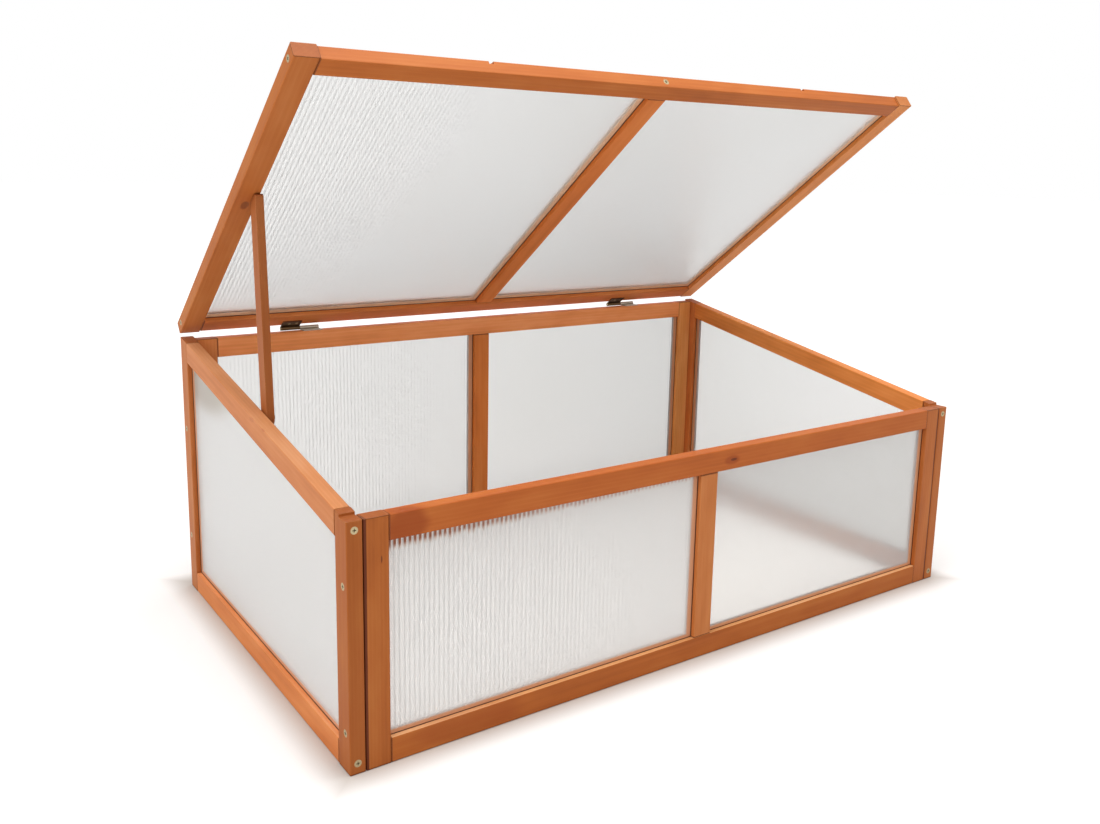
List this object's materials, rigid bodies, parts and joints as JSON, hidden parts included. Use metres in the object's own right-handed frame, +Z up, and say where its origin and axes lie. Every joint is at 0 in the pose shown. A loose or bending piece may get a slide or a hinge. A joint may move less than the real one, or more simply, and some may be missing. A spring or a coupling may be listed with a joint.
{
  "type": "cold frame",
  "caption": "Wooden mini greenhouse: a low glazed box with a sloping top, a glazed lid hinged at the back and a prop stick that holds the lid open.",
  "frame": {"origin": "on the ground, under the middle of the whole object with its lid propped open", "axes": "+X along the width, towards the end without the prop stick; +Y towards the hinged back; +Z up"},
  "size_m": [1, 0.6016, 0.7539],
  "materials": {
    "stained_wood": "stained, satin",
    "twin_wall_sheet": "translucent twin-wall sheet",
    "zinc_screws": "zinc plated",
    "hinge_steel": "yellow-bronze plated",
    "pin_steel": "zinc plated"
  },
  "bodies": {
    "box": {"front_left_stile": "stained_wood", "front_right_stile": "stained_wood", "front_bottom_rail": "stained_wood", "front_top_rail": "stained_wood", "front_muntin": "stained_wood", "front_sheet_left": "twin_wall_sheet", "front_sheet_right": "twin_wall_sheet", "back_left_stile": "stained_wood", "back_right_stile": "stained_wood", "back_bottom_rail": "stained_wood", "back_top_rail": "stained_wood", "back_muntin": "stained_wood", "back_sheet_left": "twin_wall_sheet", "back_sheet_right": "twin_wall_sheet", "left_front_stile": "stained_wood", "left_rear_stile": "stained_wood", "left_bottom_rail": "stained_wood", "left_top_rail": "stained_wood", "left_sheet": "twin_wall_sheet", "right_front_stile": "stained_wood", "right_rear_stile": "stained_wood", "right_bottom_rail": "stained_wood", "right_top_rail": "stained_wood", "right_sheet": "twin_wall_sheet", "end_frame_screws": "zinc_screws", "panel_frame_screws": "zinc_screws", "muntin_screws": "zinc_screws", "corner_screws": "zinc_screws", "hinge_box_screws": "zinc_screws", "prop_pivot_screw": "zinc_screws", "prop_washer": "zinc_screws", "hinge_left_box_leaf": "hinge_steel", "hinge_right_box_leaf": "hinge_steel", "hinge_pins": "pin_steel"},
    "lid": {"lid_left_stile": "stained_wood", "lid_right_stile": "stained_wood", "lid_front_rail": "stained_wood", "lid_hinge_rail": "stained_wood", "lid_muntin": "stained_wood", "lid_sheet_left": "twin_wall_sheet", "lid_sheet_right": "twin_wall_sheet", "lid_frame_screws": "zinc_screws", "lid_muntin_screws": "zinc_screws", "hinge_lid_screws": "zinc_screws", "hinge_left_lid_leaf": "hinge_steel", "hinge_right_lid_leaf": "hinge_steel"},
    "prop": {"prop": "stained_wood"}
  },
  "joints": [
    {"name": "lid_hinge", "type": "hinge", "parent": "box", "child": "lid", "pos_m": [0, 0.29161, 0.382], "axis": [-1, 0, 0], "range_deg": [-46.2, 44]},
    {"name": "prop_pivot", "type": "hinge", "parent": "box", "child": "prop", "pos_m": [-0.475, -0.00679, 0.32178], "axis": [-1, 0, 0], "range_deg": [-115.6, 110.1]}
  ],
  "couplings": [
    {"joint": "prop_pivot", "follows": "lid_hinge", "ratio": 2.5}
  ]
}
